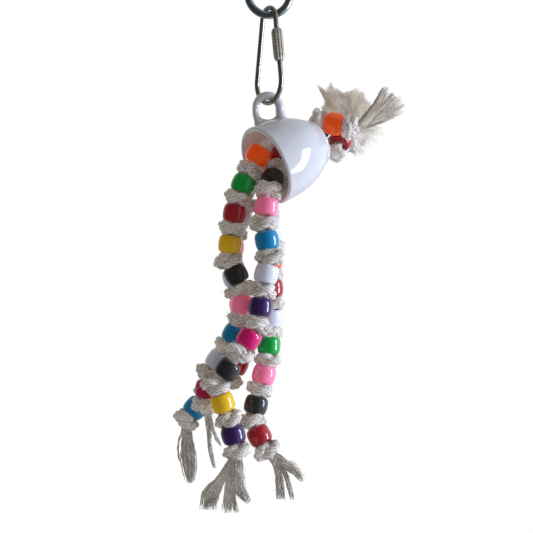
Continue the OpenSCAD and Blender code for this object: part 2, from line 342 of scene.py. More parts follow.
def cotton(name, light, dark, sheer, painted_glow, yarn=True, painted_twist_shade=0.0):
    """Undyed cotton. Yarn gives it a twist, a painted shade darkens the grooves of the twist and lightens its
    ridges, sheer lets light in from behind, and a painted glow makes it give off a little light of its own.
    """
    m, nt, b = new_material(name)
    v = coords(nt)
    fine = noise(nt, v, 1500, 3, 0.7)
    patches = noise(nt, v, 130, 4, 0.6)
    fine_share = math_node(nt, "MULTIPLY", fine, 0.45)
    shade = math_node(nt, "ADD", fine_share, math_node(nt, "MULTIPLY", patches, 0.6))
    if yarn:
        values = {"Scale": 0.6, "Distortion": 2.2, "Detail": 2, "Detail Scale": 2.5}
        twist = node(nt, "ShaderNodeTexWave", values, {"Vector": coords(nt, (3.0, 0.55, 1), "UV")},
                     wave_type="BANDS", bands_direction="DIAGONAL").outputs["Fac"]
        strands = bump(nt, twist, 0.55, 0.00018)
        nt.links.new(bump(nt, fine, 0.6, 0.00012, strands), b.inputs["Normal"])
    if painted_twist_shade:
        # painted shade in the grooves of the twist and painted light on its ridges
        shade = math_node(nt, "ADD", shade, mapped(nt, twist, -painted_twist_shade, 0.7 * painted_twist_shade))
    color = ramp(nt, shade, [(0.36, dark), (0.62, light)])
    nt.links.new(color, b.inputs["Base Color"])
    b.inputs["Roughness"].default_value = 0.9
    b.inputs["Sheen Weight"].default_value = 0.35
    b.inputs["Sheen Roughness"].default_value = 0.5
    b.inputs["Specular IOR Level"].default_value = 0.2
    # painted glow: the cotton gives off a little light in its own colour
    nt.links.new(color, b.inputs["Emission Color"])
    b.inputs["Emission Strength"].default_value = painted_glow
    behind = node(nt, "ShaderNodeBsdfTranslucent", joins={"Color": color})
    joins = {1: b.outputs["BSDF"], 2: behind.outputs["BSDF"]}
    mixed = node(nt, "ShaderNodeMixShader", {"Fac": sheer}, joins)
    out = next(n for n in nt.nodes if n.type == "OUTPUT_MATERIAL")
    nt.links.new(mixed.outputs["Shader"], out.inputs["Surface"])
    return m


# painted glow: each cotton gives off a little light of its own, the fuzz most, standing in for light
# scattered between the fibres; the rope also has painted shade in the grooves of its twist
ROPE = cotton("twisted_cotton", (0.98, 0.91, 0.83), (0.44, 0.38, 0.32), 0.06, 0.03, painted_twist_shade=0.11)
YARN = cotton("frayed_cotton", (0.94, 0.87, 0.78), (0.40, 0.35, 0.30), 0.08, 0.03)
FUZZ = cotton("cotton_fuzz", (0.93, 0.885, 0.82), (0.70, 0.65, 0.58), 0.45, 0.22, yarn=False)
ZINC = metal("bright_zinc", (0.50, 0.58, 0.62), 0.16)
NICKEL = metal("dark_nickel", (0.42, 0.39, 0.34), 0.2, pure=0.9)
SLEEVE = metal("dull_nickel", (0.60, 0.54, 0.45), 0.36, 1.5, 0.3, 0.45)
CUP = plastic("white_plastic", (0.70, 0.685, 0.69), 0.10, 0.03, 0.5)
# painted light: the cup's inside is a lighter, warmer copy of the same white plastic that also gives off a
# little light, standing in for daylight that comes through the thin wall
CUP_IN_PAINTED_LIGHT = plastic("white_plastic_inside_painted_light", (0.86, 0.84, 0.82), 0.3, 0.05, 0.1, (0.05, 0.045, 0.04))
BEAD_BASE = {"ORANGE": (1.0, 0.12, 0.003), "GREEN": (0.001, 0.40, 0.05), "RED": (0.44, 0.012, 0.020),
             "YELLOW": (1.0, 0.56, 0.010), "BLACK": (0.030, 0.030, 0.030), "PINK": (1.0, 0.24, 0.42),
             "BLUE": (0.001, 0.25, 0.50), "WHITE": (0.80, 0.80, 0.90), "PURPLE": (0.045, 0.012, 0.105),
             "MAGENTA": (0.76, 0.005, 0.165), "CRIMSON": (0.48, 0.008, 0.075)}
# painted glow: orange and pink beads give off a little light of their own, which makes them brighter than
# their colour alone can reflect; and a dye whose clear skin is weaker than the others'
BEAD_PAINTED_GLOW = {"ORANGE": (0.16, 0.010, 0.0), "PINK": (0.125, 0.012, 0.024)}
BEAD_COAT = {"BLACK": 0.12}
BEAD_MATS = {name: plastic("bead_plastic_" + name.lower(), color, rough=0.16, spread=0.07,
                           coat=BEAD_COAT.get(name, 0.35), painted_glow=BEAD_PAINTED_GLOW.get(name))
             for name, color in BEAD_BASE.items()}

# the strands, as in the CAD
LEADS = {
    "left": [[31.5, 3, -57], [19.2, 7.2, -54], [19.8, 5.8, -59.6], [14.2, 2.7, -62.4], [7, -1, -61]],
    "front": [[20.8, 27, -53.8], [19.6, 16, -57.6], [18.3, 9, -60.4], [12.7, 5.9, -63.2], [9, 8, -62]],
    "back": [[32, 26.5, -60.2], [23.4, 18, -63.4], [20, 9, -63.6], [14.4, 5.9, -66.4], [7.5, 11, -71.5],
             [-3.5, 5.8, -74.5]],
    "right": [[30.4, 16.2, -55], [26, 7.6, -66.6], [21.4, 5.8, -62.8], [15.8, 2.7, -65.6], [11, 2, -74],
              [5, 2.4, -80], [-0.3, 0.5, -84]]}
RUNS = {
    "left": [[-1, -2, -62.5], [-7.5, -3, -74], [-12, -4, -84.6], [-14, -3.5, -96], [-15.5, -3, -108],
             [-9.5, -2.5, -119], [-10.5, -3, -131], [-16, -2.5, -141.5], [-22.8, -1.6, -151.2],
             [-24.6, -1.6, -163.2]],
    "front": [[7, 8, -62.5], [2.5, 1, -73.5], [0, -7, -82], [-2, -9.5, -94.5], [0.5, -10, -107],
              [-2.5, -10.5, -119.5], [-4, -12, -132], [-11, -12, -142.6], [-19.8, -11, -155.2],
              [-15, -10, -167.5], [-11.8, -10, -179.4]],
    "back": [[-9, 6, -86.3], [-13.5, 6.7, -97.3], [-15, 7.3, -109], [-12, 7.5, -120.3], [-9.5, 7.5, -131.5],
             [-10, 7.5, -143], [-15, 7, -154], [-24.8, 8.5, -161], [-32.2, 8, -169.8]],
    "right": [[-0.6, 2, -91.4], [0.8, 2.6, -102.4], [0.8, 2.8, -113.4], [1.3, 2.8, -124.3],
              [0.5, 4.7, -135.4], [-0.5, 3, -146.5], [-3.4, 2, -157.5], [-6.6, 1, -169.6],
              [-0.8, -1, -180.6]]}
# which strands have a knot at the start of their run, and how big the one before the cup's hole is
FIRST_KNOT = {"left": False, "front": False, "back": True, "right": True}
STOP_KNOT = {"left": 1.0, "front": 0, "back": 0, "right": 0.64}
BEADS = {
    "left": "ORANGE ORANGE GREEN RED YELLOW BLACK PINK BLUE WHITE CRIMSON".split(),
    "front": "BLACK RED BLACK PINK BLUE WHITE PURPLE MAGENTA BLACK YELLOW PURPLE".split(),
    "back": "WHITE WHITE PINK WHITE ORANGE PURPLE RED YELLOW BLUE".split(),
    "right": "RED WHITE ORANGE RED WHITE GREEN PINK BLACK RED".split()}

# ropes, which are all of one nominal thickness
# a rope's line: curve points for each control point, and its even step
CURVE_POINTS, ROPE_STEP = 6, 0.75
# the radius of a knot's round and how far it swings in and out, and the size of all knots
KNOT_R, KNOT_W, KNOT_SIZE = 2.75, 1.3, 0.95
# the degrees of the round, and the two points by which the rope comes into the knot from above
KNOT_FROM, KNOT_TO, KNOT_STEP = 35, 686, 15
KNOT_IN = arr([[0, 0, 3.2], [0.3, 0.2, 1.9]])
# the room a bead takes between two knots, and how much a knot grows into room that is left
BEAD_ROOM = 11
GROW, GROW_ROOM, GROW_MOST = 0.5, 6.0, 1.16
# the three plies: length of one twist, distance from the rope's middle, radius
LAY_MM = 11.0
PLY_OFF, PLY_R = 0.72, 1.12
# how many sides plies, yarn and fibre have
PLY_SIDES, YARN_SIDES, FIBRE_SIDES = 7, 5, 3
# loose fibres of a rope: how many, the longest, and the radius at each of their three points
HAIRS, HAIR_LONGEST = 1500, 2.4
HAIR_R = np.array([0.045, 0.04, 0.02])


def knot_path(at, up, turn, size):
    """The rope's line through one overhand knot: in from above, round twice and out below."""
    a = np.radians(np.arange(KNOT_FROM, KNOT_TO, KNOT_STEP))
    rad = KNOT_R - KNOT_W * np.cos(1.5 * a)
    loc = np.stack([rad * np.cos(a), rad * np.sin(a), -KNOT_W * np.sin(1.5 * a)], axis=1)
    loc = np.vstack([KNOT_IN, loc, KNOT_IN[::-1] * [1, -1, -1]]) * size
    c, s = math.cos(turn), math.sin(turn)
    loc = loc @ np.array([[c, s, 0], [-s, c, 0], [0, 0, 1]])
    return arr(at) + loc @ turn_to(up).T


def strand_line(name):
    """The middle line of a whole rope, from its outer knot through the cup to its last knot."""
    lead, run = arr(LEADS[name]), arr(RUNS[name])
    points = []
    r = random.Random(name)

    def knot(at, up, room=0.0, share=1.0):
        grown = min(GROW_MOST, 1.0 + GROW * max(0.0, room) / GROW_ROOM)
        size = KNOT_SIZE * share * grown * r.uniform(0.97, 1.04)
        points.append(knot_path(at, up, r.uniform(0, 6.28), size))

    axis = unit(lead[0] - lead[1])
    knot(lead[0], axis)
    if STOP_KNOT[name]:
        points.append(((lead[0] + lead[1]) / 2)[None])
        knot(lead[1], axis, share=STOP_KNOT[name])
    else:
        points.append(lead[1][None])
    points.append(lead[2:])
    last = len(run) - 1
    for i, p in enumerate(run):
        if i:
            points.append(((run[i - 1] + p) / 2)[None])
        if i or FIRST_KNOT[name]:
            near = [np.linalg.norm(run[k] - p) for k in (i - 1, i + 1) if 0 <= k <= last]
            knot(p, unit(run[max(i - 1, 0)] - run[min(i + 1, last)]), min(near) - BEAD_ROOM)
        else:
            points.append(p[None])
    return resample(spline(np.vstack(points), CURVE_POINTS), ROPE_STEP)


def plies(line, build):
    """Three twisted plies round a line, with a little unevenness."""
    a, b = frames(line)
    s = length_along(line)
    skin = []
    for k in range(3):
        angle = s / LAY_MM * FULL_TURN + k * FULL_TURN / 3
        uneven = 1 + 0.05 * np.sin(s * 0.9 + k * 2.1) + 0.03 * np.sin(s * 2.3 + k)
        p = line + PLY_OFF * circled(angle, a, b)
        rad = PLY_R * uneven
        rad[:2] *= 0.7
        rad[-2:] *= 0.7
        build.tube(p, rad, PLY_SIDES)
        skin.append((p, unit(p - line), rad))
    return skin


def hairs(skin, build, seed):
    """Loose fibres that stand off a rope's skin."""
    r = np.random.default_rng(seed)
    for _ in range(HAIRS):
        p, out, rad = skin[r.integers(3)]
        i = r.integers(2, len(p) - 2)
        side = unit(p[i + 1] - p[i - 1])
        d = unit(out[i] + 0.7 * r.normal(size=3))
        base = p[i] + d * rad[i] * 0.92
        n = r.uniform(0.5, 1) ** 2 * HAIR_LONGEST
        bend = unit(d * 0.5 + side * r.choice([-1, 1]) + 0.6 * r.normal(size=3))
        q = np.stack([base, base + d * n * 0.3 + bend * n * 0.12, base + d * n * 0.5 + bend * n * 0.5])
        build.tube(q, HAIR_R, FIBRE_SIDES, cap=False)


def ribbon(build, seed, spine, width, depth, count, thick=0.2, ragged=0.14, wave=0.25):
    """A flat bunch of loose parallel yarn along a curve, with its width given along it."""
    r = np.random.default_rng(seed)
    c = resample(through(arr(spine), 6), 0.9)
    s = length_along(c)
    t = unit(np.gradient(c, axis=0))
    back = arr([0, 1, 0])
    n = unit(back - (t @ back)[:, None] * t)
    side = np.cross(t, n)
    q = s / s[-1]
    half = np.interp(q, np.linspace(0, 1, len(width)), width) / 2
    ph = r.uniform(0, 6.28, 4)
    for _ in range(count):
        a, b = r.uniform(-1, 1), r.uniform(-1, 1)
        b *= math.sqrt(1 - a * a)
        drift = 0.22 * r.normal()
        own = r.uniform(0, 6.28)
        across = half * np.clip(a + drift * q, -1.2, 1.2) + wave * np.sin(s * 0.45 + ph[0] + 1.3 * a) * q
        across = across + 0.10 * np.sin(s * 1.7 + own)
        inward = depth / 2 * b * (0.6 + 0.4 * q) + wave * np.sin(s * 0.38 + ph[1] + 2 * a) * q
        inward = inward + 0.10 * np.cos(s * 1.5 + own)
        p = c + side * across[:, None] + n * inward[:, None]
        m = max(4, int(len(p) * (1 - ragged * r.uniform(0, 1) ** 1.5)))
        u = np.linspace(0, 1, m)
        rad = thick * r.uniform(0.7, 1.25) * np.interp(u, [0, 0.85, 1], [1, 0.9, 0.25])
        build.tube(p[:m], rad, YARN_SIDES)


def fan(build, seed, root, targets, count, lift, thick, bend=0.12, wave=0.5, fade=(0.72, 1.03), by=None):
    """A sheet of soft fibre spread from one place to a ragged outline, past a second line if given."""
    r = np.random.default_rng(seed)
    root, targets = arr(root), arr(targets)
    s = length_along(targets)
    ph = r.uniform(0, 6.28, 6)
    n = 7
    u = np.linspace(0, 1, n)[:, None]
    for _ in range(count):
        k = r.uniform(0, 1)
        end = np.array([np.interp(k * s[-1], s, targets[:, j]) for j in range(3)])
        clump = 0.5 + 0.5 * math.sin(k * 19 + ph[0]) * math.sin(k * 47 + ph[1])
        reach = r.uniform(*fade) * (0.93 + 0.07 * clump)
        start = root + r.normal(size=3) * [0.7, 0.7, 0.5]
        if by is None:
            middle = (start + end) / 2
        else:
            middle = np.array([np.interp(k, np.linspace(0, 1, len(by)), arr(by)[:, j]) for j in range(3)])
            middle = middle + r.normal(size=3) * [0.9, 0.7, 0.7]
        end = middle + (end - middle) * (2 * reach - 1)
        p = (1 - u) ** 2 * start + 2 * u * (1 - u) * middle + u ** 2 * end
        d = end - root
        up = unit(np.cross(d, [0, 1, 0]))
        p = p + up * (bend * np.linalg.norm(d) * np.sin(u * math.pi) * (0.4 + 0.6 * r.uniform(-1, 1)))
        fold = lift * (np.sin(k * 9 + ph[2]) + 0.5 * np.sin(k * 23 + ph[3])) * u ** 1.2
        p[:, 1] += (fold[:, 0] + r.normal() * 0.35 * lift * u[:, 0])
        p += wave * u * np.stack([np.sin(u[:, 0] * 6 + ph[4] + k * 31 + 0.5 * r.normal()),
                                  np.cos(u[:, 0] * 5 + k * 17), np.sin(u[:, 0] * 7 + ph[5] + k * 23)], axis=1)
        taper = np.linspace(1, 0.4, 2 * (n - 1) + 1)
        build.tube(through(p, 2), taper * thick * r.uniform(0.7, 1.3), FIBRE_SIDES, cap=False)


# Frayed ends, a function for each rope, top end first. Yarn goes into ends, loose fibre into fuzz.
def left_tails(ends, fuzz, seed):
    root = [32.6, 2.8, -57]
    ribbon(ends, seed, [root, [35.5, 2.6, -55.6], [40.5, 1.8, -49.2], [45.8, 1, -41]], [3.0, 2.6, 1.8, 2.2],
           depth=1.8, count=34)
    ribbon(ends, seed + 1, [root, [36, 2.6, -55.9], [42.5, 1.6, -50.4], [48.4, 0.6, -43.8]],
           [2.6, 2.4, 2.0, 2.6], depth=1.6, count=34)
    ribbon(ends, seed + 2, [root, [36.5, 3, -57], [42, 3.2, -54.4], [47.5, 3, -51.2]], [2.0, 2.0, 2.6, 4.0],
           depth=1.2, count=26)
    fan(fuzz, seed + 3, [38.5, 3.1, -55],
        [[46.5, 3, -45.6], [49.6, 3, -44.6], [52, 3, -46], [52.8, 3.2, -49], [51.2, 3, -51.8],
         [47.4, 3, -53.8]],
        count=600, lift=1.0, thick=0.06, bend=0.05, wave=0.3, fade=(0.75, 1.02))
    fan(fuzz, seed + 7, [36.4, 1.2, -56],
        [[43.6, -0.6, -43.6], [46, -0.6, -42.4], [48.6, -0.4, -44], [49.6, 0, -46]], count=120, lift=0.5,
        thick=0.06, bend=0.04, wave=0.3, fade=(0.72, 1.0))
    fan(fuzz, seed + 4, [35, 4, -58], [[46, 5, -56], [44.5, 6, -60], [41, 7, -64], [37, 7, -65.5]],
        count=170, lift=2.2, thick=0.034, bend=0.25, wave=1.0, fade=(0.55, 1.0))
    end = [-24.6, -1.6, -163.8]
    ribbon(ends, seed + 5,
           [end, [-23.4, -2, -167], [-22.8, -2.3, -172], [-22.4, -2.6, -179], [-20.6, -3, -188]],
           [2.6, 2.4, 1.7, 1.0, 1.2], depth=1.2, count=13, thick=0.22, ragged=0.05)
    ribbon(ends, seed + 6, [end, [-22.9, -2.4, -167], [-21.2, -3.4, -173], [-18.2, -4.8, -179.6]],
           [2.4, 2.0, 1.3, 0.8], depth=1.0, count=9)


def front_tails(ends, fuzz, seed):
    root = [21.2, 28.4, -53.4]
    fan(fuzz, seed, root, [[19, 33, -49.5], [24, 35, -46.5], [30, 36, -48], [32, 36, -54]], count=160,
        lift=1.6, thick=0.05)
    ribbon(ends, seed + 1, [root, [23.5, 31, -51.5], [28, 34, -50.5]], [2.0, 2.4, 3.0], depth=1.4, count=22)
    end = [-11.9, -10, -180.4]
    ribbon(ends, seed + 2,
           [end, [-14, -10, -184.5], [-18.8, -9.6, -191.5], [-22.4, -8.8, -197], [-22.8, -8.6, -202.6]],
           [3.4, 3.8, 3.4, 5.4, 5.8], depth=1.5, count=72, ragged=0.09, wave=0.35)
    ribbon(ends, seed + 3,
           [end, [-13.2, -10.2, -185], [-14.0, -10.6, -192], [-14.6, -11, -198.5], [-14.4, -11, -203.4]],
           [3.2, 3.6, 4.4, 3.6, 6.0], depth=1.3, count=60, ragged=0.12, wave=0.3)
    ribbon(ends, seed + 4,
           [end, [-11.6, -10.8, -185], [-11.4, -11.6, -191], [-9.6, -12, -195.6], [-6.8, -12, -199.2]],
           [3.0, 3.8, 4.4, 3.2, 1.2], depth=1.3, count=44, ragged=0.2, wave=0.3)
    fan(fuzz, seed + 5, [-11.8, -11, -186], [[-8.4, -12, -186], [-9, -12, -194], [-7, -12, -198]], count=60,
        lift=1.0, thick=0.05)


def back_tails(ends, fuzz, seed):
    root = [33, 27.2, -60]
    fan(fuzz, seed, root, [[41, 31, -56], [41.5, 32, -61], [39, 33, -66], [34, 35, -66]], count=200,
        lift=1.8, thick=0.045)
    ribbon(ends, seed + 1, [root, [36, 29.5, -59.6], [40.5, 31, -60]], [2.0, 2.2, 2.4], depth=1.4, count=20)
    end = [-32.2, 8, -170.6]
    ribbon(ends, seed + 2,
           [end, [-32.0, 8.2, -175], [-31.6, 8.4, -181], [-31.2, 8.4, -188], [-30.4, 8, -195.4]],
           [3.4, 4.0, 5.0, 5.2, 3.0], depth=1.8, count=76, ragged=0.14, wave=0.3)
    ribbon(ends, seed + 3,
           [end, [-33.8, 8.4, -174.5], [-35.3, 9, -179.5], [-35.2, 9, -184], [-34, 9, -187.6]],
           [1.2, 0.8, 0.7, 0.9, 1.4], depth=0.7, count=6, thick=0.19, ragged=0.05, wave=0.1)


def right_tails(ends, fuzz, seed):
    root = [34.4, 17.4, -54.6]
    edge = [[21.2, 19, -48.2], [22, 19, -44.2], [19.8, 19, -39.6], [22, 19, -40.2], [23.9, 19, -36.6],
            [26.2, 20, -39.4], [28.6, 20, -41], [31.2, 20, -40.5], [34.4, 20, -39.4], [38.6, 20, -42],
            [40.6, 20, -45.6], [40, 20, -49.4]]
    low = [[24.2, 17.6, -50.4], [25.4, 17.6, -47.6], [29, 17.6, -47.6], [33, 17.6, -48], [37, 17.6, -51.5]]
    fan(fuzz, seed, root, edge, count=2000, lift=1.4, thick=0.07, bend=0.04, wave=0.62, fade=(0.92, 1.04),
        by=low)
    fan(ends, seed + 1, root, edge, count=330, lift=1.1, thick=0.11, bend=0.04, wave=0.62, fade=(0.8, 1.0),
        by=low)
    end = [-0.6, -1, -181.4]
    ribbon(ends, seed + 2, [end, [2.2, -1, -184.6], [3.6, -1.4, -189], [4.2, -1.8, -194], [4.4, -2, -200]],
           [3.0, 3.0, 2.4, 2.6, 3.6], depth=1.4, count=44, thick=0.19, ragged=0.08)
    ribbon(ends, seed + 3, [end, [3.4, -1, -184.6], [6.4, -1, -190], [8, -1, -195.5], [9, -1, -200.3]],
           [2.8, 3.0, 2.2, 1.6, 1.8], depth=1.2, count=30, thick=0.19, ragged=0.12)
    ribbon(ends, seed + 4,
           [end, [3.4, -1.4, -183.4], [7.6, -2, -186.6], [10.8, -2.6, -189], [12.8, -3, -193]],
           [2.8, 3.2, 2.8, 2.2, 1.2], depth=1.2, count=36, thick=0.19, ragged=0.2)
    fan(fuzz, seed + 5, [6, -1.6, -185], [[10, -2, -184.6], [13, -3, -188], [14.4, -3, -192.6]], count=90,
        lift=0.9, thick=0.045)


TAILS = {"left": left_tails, "front": front_tails, "back": back_tails, "right": right_tails}
HAIR_SEED, TAIL_SEED, TAIL_SEED_STEP = 20, 100, 20


def add_rope(index, name):
    """One rope with its knots, its frayed ends and its loose fibre. Gives its length."""
    line = strand_line(name)
    rope = Build()
    skin = plies(line, rope)
    rope_piece = rope.make(f"twisted_rope_{name}", ROPE, "toy")
    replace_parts(rope_piece, f"rope_{name}", f"knots_{name}")
    fuzz = Build()
    hairs(skin, fuzz, HAIR_SEED + index)
    ends = Build()
    TAILS[name](ends, fuzz, TAIL_SEED + TAIL_SEED_STEP * index)
    ends_piece = ends.make(f"frayed_yarn_{name}", YARN, "toy")
    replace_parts(ends_piece, f"frayed_top_{name}", f"frayed_end_{name}")
    fuzz_piece = fuzz.make(f"cotton_fuzz_{name}", FUZZ, "toy")
    total = length_along(line)[-1]
    return round(total, 1)


rope_lengths = {name: add_rope(index, name) for index, name in enumerate(TAILS)}
print("rope lengths in mm:", rope_lengths)

# pony beads: outer size, height, bore and the flat end round the bore
BEAD_D, BEAD_H, BEAD_BORE, BEAD_LIP = 9.0, 6.8, 4.2, 5.7
BEAD_SIDES = 40
# how full the barrel's side is and how square its shoulders are
BEAD_FULL, BEAD_SHOULDER = 0.72, 0.85


def bead_profile(d, h):
    """Barrel outline of a pony bead, with rounded shoulders and a softened bore."""
    out = []
    for c, s in cos_sin(-90 + 180 * i / 24 for i in range(25)):
        x = BEAD_LIP / 2 + (d - BEAD_LIP) / 2 * abs(c) ** BEAD_FULL
        out.append((x, h / 2 * math.copysign(abs(s) ** BEAD_SHOULDER, s)))
    soft = [(BEAD_BORE / 2 + more, h / 2 - down) for more, down in ((0.30, 0.02), (0.08, 0.2), (0, 0.6))]
    return out + soft + [(x, -z) for x, z in reversed(soft)]


def add_beads(name):
    """The beads of one rope, each halfway between two of its points."""
    lead, run = arr(LEADS[name]), arr(RUNS[name])
    for i, shade in enumerate(BEADS[name]):
        a, b = (lead[0], lead[1]) if i == 0 else (run[i], run[i - 1])
        r = random.Random(f"{name}{i}")
        profile = bead_profile(BEAD_D * r.uniform(0.985, 1.012), BEAD_H * r.uniform(0.97, 1.03))
        v, f = lathe(profile, BEAD_SIDES)
        v = (a + b) / 2 + v @ turn_to(b - a).T
        ob = piece(f"pony_bead_{name}_{i}", v, f, BEAD_MATS[shade], "toy")
        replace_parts(ob, f"bead_{name}_{i}")


for name in BEADS:
    add_beads(name)

# cup
MOUTH_R, BASE_R, CUP_H, BULGE, WALL = 15.5, 8, 25, 2.8, 1.1
CUP_SIDES, EYE_SIDES = 160, 28
# radius of the mouth's rounded lip, and how far the lip thins down to the wall
LIP, LIP_FADE = 0.85, 1.4
# the base's rounded edge: its radius and where the wall meets it, outside and inside
BASE_EDGE, SHOULDER, INNER_END = 0.9, 23.6, 23.3
HOLE_R = 4.5
EYE_Z, EYE_R, EYE_SINK, EYE_OVER_MOUTH = -49.8, 6.3, 1, 10.5
CUP_LEAN, CUP_YAW = math.radians(24), math.radians(29.6)
CUP_AXIS = arr([math.cos(CUP_LEAN) * math.cos(CUP_YAW), math.cos(CUP_LEAN) * math.sin(CUP_YAW),
                math.sin(CUP_LEAN)])
SIDE_SLOPE = unit([-math.sin(CUP_LEAN), 0, math.cos(CUP_LEAN) * math.cos(CUP_YAW)])
# the eye's wire from its left foot over the top to its right foot, and the wire's radius at each point
EYE_LINE = arr([[-2.9, 0, -57.4], [-4.3, 0, -54.6], [-5.2, 0, -51.2], [-4.8, 0, -48.1], [-3.1, 0, -46],
                [-0.5, 0, -45.25], [2.1, 0, -46.1], [3.9, 0, -48.6], [4.25, 0, -51.4], [4.7, 0, -54],
                [5.7, 0, -56.4]])
EYE_WIRE = [2.4, 1.45, 1.15, 1.25, 1.5, 1.6, 1.6, 1.65, 1.7, 2.0, 2.8]
# the web between the eye's legs, as X and Z, and its layers: depth and share of the full outline
WEB = arr([[-4.9, -53], [-3.7, -53.4], [-2.8, -54.0], [-1.4, -54.4], [0.4, -54.45], [1.9, -53.9],
           [2.8, -52.9], [4.4, -52.4], [5.6, -53.4], [6.9, -54.6], [6.4, -57.2], [0, -57.6], [-5, -59.4],
           [-5.6, -56]])
WEB_LAYERS = ((-1.25, 0.94), (-0.8, 1.0), (0.8, 1.0), (1.25, 0.94))


def cup_radius(t):
    """Outer radius of the cup at a distance from its mouth."""
    return BASE_R + (MOUTH_R - BASE_R) * (1 - (t / CUP_H) ** BULGE)


def cup_shell():
    """The cup's vertices and faces, and for each face 1 if it is inside and 0 if not."""
    outer = [(cup_radius(t), t) for t in np.linspace(LIP, SHOULDER, 40)]
    corner = [(cup_radius(SHOULDER) - BASE_EDGE + BASE_EDGE * c, CUP_H - BASE_EDGE + BASE_EDGE * s)
              for c, s in cos_sin(range(10, 91, 16))]
    hole = [(HOLE_R + more, CUP_H - down)
            for more, down in ((0.4, 0), (0.1, 0.1), (0, 0.4), (0, 0.8), (0.2, 1.05))]
    inner = [(cup_radius(t) - WALL - (2 * LIP - WALL) * max(0, 1 - (t - LIP) / LIP_FADE), t)
             for t in np.linspace(INNER_END, LIP, 48)]
    inner = [(x, t) for x, t in inner if x > HOLE_R + 0.4]
    rim = [(MOUTH_R - LIP + LIP * c, LIP - LIP * s) for c, s in cos_sin(range(165, 14, -15))]
    profile = outer + corner + hole + inner + rim
    v, f = lathe(profile, CUP_SIDES)
    first = len(outer) + len(corner) + len(hole)
    inside = [int(first - 2 <= k % len(profile) < first + len(inner)) for k in range(len(f))]
    sunk = arr([0, 0, EYE_Z - EYE_R + EYE_SINK])
    mouth = sunk - SIDE_SLOPE * cup_radius(EYE_OVER_MOUTH) - CUP_AXIS * EYE_OVER_MOUTH
    return mouth + v @ turn_to(CUP_AXIS).T, f, inside


def eye_arch():
    """The eye's thick wire, from the cup over the link and back."""
    eye = Build()
    line = through(EYE_LINE, 10)
    u = np.linspace(0, 1, len(line))
    eye.tube(line, np.interp(u, np.linspace(0, 1, len(EYE_WIRE)), EYE_WIRE), EYE_SIDES)
    return eye.v[0], eye.f


def eye_web():
    """The web that closes the foot of the eye, with softened edges."""
    n = len(WEB)
    middle = WEB.mean(axis=0)
    layers = []
    for depth, share in WEB_LAYERS:
        flat = middle + (WEB - middle) * share
        layers.append(np.stack([flat[:, 0], np.full(n, depth), flat[:, 1]], axis=1))
    last = (len(layers) - 1) * n
    caps = [list(range(n - 1, -1, -1)), [last + k for k in range(n)]]
    return np.vstack(layers), quads(len(layers), n, False).tolist() + caps


def add_cup():
    shell, shell_faces, inside = cup_shell()
    v, f = joined([(shell, shell_faces), eye_arch(), eye_web()])
    # the faces inside the cup take the plastic with painted light
    in_mats = inside + [0] * (len(f) - len(inside))
    cup = piece("moulded_cup", v, f, [CUP, CUP_IN_PAINTED_LIGHT], "toy", face_mats=in_mats)
    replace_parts(cup, "cup")


add_cup()

# ring: the inside of its top is at the origin
RING_R, RING_WIRE, RING_STEPS, RING_SIDES = 8, 1.5, 128, 32


def add_ring():
    v, f = torus(RING_R, RING_WIRE, (0, 0, RING_WIRE - RING_R), RING_STEPS, RING_SIDES)
    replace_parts(piece("zinc_ring_piece", v, f, ZINC, "ring"), "hanging_ring")


add_ring()

# link: two arcs joined by straight legs, one of which is open under the sleeve
LINK_TURN = math.radians(55)
LINK_WIRE, LINK_SIDES = 0.95, 24
TOP_Z, BOTTOM_Z, TOP_R, BOTTOM_R = -11.75, -48.05, 4.3, 8.0
TOP_C, BOTTOM_C = TOP_Z - TOP_R, BOTTOM_Z + BOTTOM_R
LEAN = math.asin((BOTTOM_R - TOP_R) / (TOP_C - BOTTOM_C))
LEG_TOP = arr([TOP_R * math.cos(LEAN), TOP_C + TOP_R * math.sin(LEAN)])
LEG_BOTTOM = arr([BOTTOM_R * math.cos(LEAN), BOTTOM_C + BOTTOM_R * math.sin(LEAN)])
LEG_DIR = unit(LEG_BOTTOM - LEG_TOP)
LEG_LONG = np.linalg.norm(LEG_BOTTOM - LEG_TOP)
# along the right leg: where the sleeve starts, its length, the wire it covers below and the gap
SLEEVE_FROM, SLEEVE_LONG, STUB_COVER, LINK_GAP = 4.6, 12.4, 2.8, 4.5
# the thread that shows at the sleeve's ends: from and to, its pitch, radius, wire, points a turn, sides
THREADS = ((3.3, 5.2), (16.6, 18.6))
PITCH, THREAD_R, THREAD_WIRE, THREAD_POINTS, THREAD_SIDES = 0.5, 0.89, 0.14, 18, 5


def link_point(x, z):
    """A point of the link's flat drawing, turned to where it hangs."""
    return [x * math.cos(LINK_TURN), -x * math.sin(LINK_TURN), z]


def on_leg(distance):
    """A point on the right leg, at a distance from its top."""
    return arr(link_point(*(LEG_TOP + LEG_DIR * distance)))


def arc(r, zc, a0, a1, n):
    return [(r * math.cos(t), zc + r * math.sin(t)) for t in np.linspace(a0, a1, n)]


def link_outline():
    """The link's wire from the upper end of its gap round to the lower end."""
    stub = LEG_LONG - SLEEVE_FROM - SLEEVE_LONG + STUB_COVER
    upper_end = LEG_TOP + LEG_DIR * (LEG_LONG - stub - LINK_GAP)
    stub_end = LEG_BOTTOM - LEG_DIR * stub
    mirror = arr([-1, 1])
    left_leg = [tuple(mirror * (LEG_TOP + k * (LEG_BOTTOM - LEG_TOP))) for k in (0.25, 0.5, 0.75)]
    return ([tuple(upper_end), tuple((upper_end + LEG_TOP) / 2)] + arc(TOP_R, TOP_C, LEAN, math.pi - LEAN, 28)
            + left_leg + arc(BOTTOM_R, BOTTOM_C, math.pi - LEAN, FULL_TURN + LEAN, 40)
            + [tuple((stub_end + LEG_BOTTOM) / 2), tuple(stub_end)])


